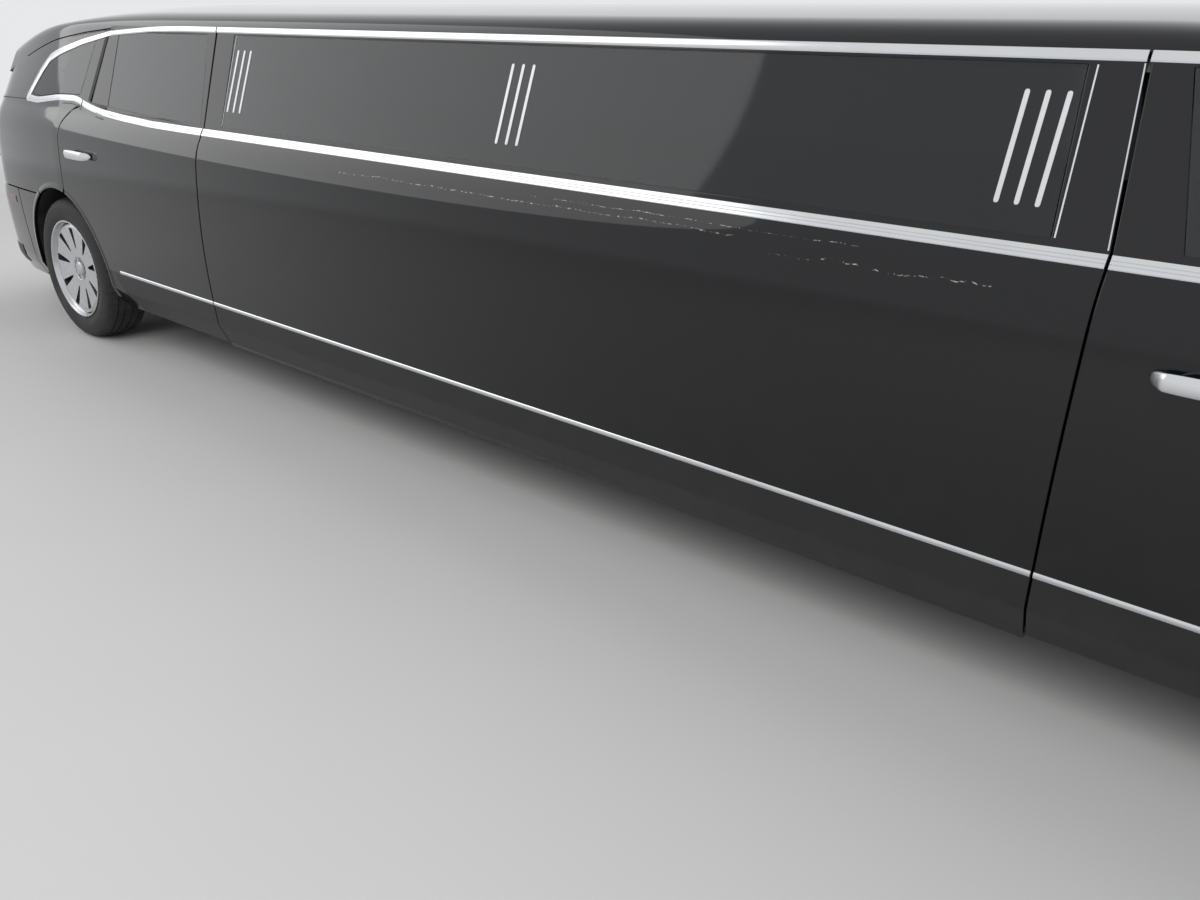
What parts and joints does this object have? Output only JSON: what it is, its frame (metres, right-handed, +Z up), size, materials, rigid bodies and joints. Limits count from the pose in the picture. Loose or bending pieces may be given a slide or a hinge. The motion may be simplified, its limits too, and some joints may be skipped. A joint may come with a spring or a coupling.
{
  "type": "stretch limousine",
  "caption": "Long-wheelbase crossover limousine with opening doors, hood and tailgate, steered front wheels, and a partitioned cabin with side bench and bar.",
  "frame": {"origin": "on the ground below the middle of the overall box", "axes": "+X forward along the car, +Y to its left, +Z up"},
  "size_m": [8.831, 2.17, 1.7117],
  "materials": {
    "paint": "gloss black",
    "glass": "dark tinted",
    "trim": "satin",
    "chrome": "polished",
    "lamp": "clear",
    "lamp_red": "red lens",
    "tyre": "matte",
    "alloy": "machined",
    "iron": "bare",
    "steel": "satin",
    "exhaust": "dull",
    "leather": "black",
    "cabinet": "gloss"
  },
  "bodies": {
    "body": {"bar_cabinet": "cabinet", "bulkhead": "steel", "cowl": "steel", "dashboard": "trim", "driveshaft": "steel", "engine": "iron", "exhaust": "exhaust", "floor_pan": "steel", "front_bumper": "paint", "front_fenders": "paint", "front_seats": "leather", "front_struts": "steel", "front_subframe": "steel", "front_wheel_housings": "trim", "fuel_tank": "steel", "grille": "chrome", "headlamps": "lamp", "partition": "trim", "rear_bench": "leather", "rear_bumper": "paint", "rear_knuckles": "iron", "rear_quarters": "paint", "rear_subframe": "steel", "rear_wheel_housings": "trim", "roof": "paint", "side_bench": "leather", "side_windows": "glass", "steering_column": "trim", "stretch_panels": "paint", "tail_lamps": "lamp_red", "windscreen": "glass", "windscreen_pillars": "paint"},
    "front_door_left": {"front_door_left": "paint", "front_door_glass_left": "glass", "door_mirror_left": "paint"},
    "rear_door_left": {"rear_door_left": "paint", "rear_door_glass_left": "glass"},
    "knuckle_left": {"front_knuckle_left": "iron"},
    "front_wheel_left": {"front_tyre_left": "tyre", "front_wheel_left": "alloy", "front_brake_disc_left": "iron"},
    "rear_wheel_left": {"rear_tyre_left": "tyre", "rear_wheel_left": "alloy", "rear_brake_disc_left": "iron"},
    "front_door_right": {"front_door_right": "paint", "front_door_glass_right": "glass", "door_mirror_right": "paint"},
    "rear_door_right": {"rear_door_right": "paint", "rear_door_glass_right": "glass"},
    "knuckle_right": {"front_knuckle_right": "iron"},
    "front_wheel_right": {"front_tyre_right": "tyre", "front_wheel_right": "alloy", "front_brake_disc_right": "iron"},
    "rear_wheel_right": {"rear_tyre_right": "tyre", "rear_wheel_right": "alloy", "rear_brake_disc_right": "iron"},
    "hood": {"hood": "paint"},
    "tailgate": {"tailgate": "paint", "tailgate_glass": "glass"},
    "steering": {"steering_wheel": "trim"}
  },
  "joints": [
    {"name": "front_door_left_hinge", "type": "hinge", "parent": "body", "child": "front_door_left", "pos_m": [2.9555, 0.94, 0.7], "axis": [0, 0, -1], "range_deg": [0, 65]},
    {"name": "rear_door_left_hinge", "type": "hinge", "parent": "body", "child": "rear_door_left", "pos_m": [-1.6855, 0.94, 0.7], "axis": [0, 0, -1], "range_deg": [0, 65]},
    {"name": "front_door_right_hinge", "type": "hinge", "parent": "body", "child": "front_door_right", "pos_m": [2.9555, -0.94, 0.7], "axis": [0, 0, 1], "range_deg": [0, 65]},
    {"name": "rear_door_right_hinge", "type": "hinge", "parent": "body", "child": "rear_door_right", "pos_m": [-1.6855, -0.94, 0.7], "axis": [0, 0, 1], "range_deg": [0, 65]},
    {"name": "hood_hinge", "type": "hinge", "parent": "body", "child": "hood", "pos_m": [3.08, 0, 1.153], "axis": [0, -1, 0], "range_deg": [0, 50]},
    {"name": "tailgate_hinge", "type": "hinge", "parent": "body", "child": "tailgate", "pos_m": [-3.9845, 0, 1.552], "axis": [0, 1, 0], "range_deg": [0, 80]},
    {"name": "steer_left", "type": "hinge", "parent": "body", "child": "knuckle_left", "pos_m": [3.4055, 0.753, 0.371], "axis": [0, 0, 1], "range_deg": [-32, 32]},
    {"name": "steer_right", "type": "hinge", "parent": "body", "child": "knuckle_right", "pos_m": [3.4055, -0.753, 0.371], "axis": [0, 0, 1], "range_deg": [-32, 32]},
    {"name": "front_wheel_left_spin", "type": "hinge", "parent": "knuckle_left", "child": "front_wheel_left", "pos_m": [3.4055, 0.8285, 0.371], "axis": [0, 1, 0], "continuous": true},
    {"name": "rear_wheel_left_spin", "type": "hinge", "parent": "body", "child": "rear_wheel_left", "pos_m": [-3.1455, 0.8285, 0.371], "axis": [0, 1, 0], "continuous": true},
    {"name": "front_wheel_right_spin", "type": "hinge", "parent": "knuckle_right", "child": "front_wheel_right", "pos_m": [3.4055, -0.8285, 0.371], "axis": [0, 1, 0], "continuous": true},
    {"name": "rear_wheel_right_spin", "type": "hinge", "parent": "body", "child": "rear_wheel_right", "pos_m": [-3.1455, -0.8285, 0.371], "axis": [0, 1, 0], "continuous": true},
    {"name": "steering_wheel_turn", "type": "hinge", "parent": "body", "child": "steering", "pos_m": [2.4485, 0.395, 0.985], "axis": [-0.9135, 0, 0.4067], "range_deg": [-480, 480]}
  ],
  "couplings": [
    {"joint": "steer_right", "follows": "steer_left", "ratio": 1},
    {"joint": "steering_wheel_turn", "follows": "steer_left", "ratio": 15}
  ]
}
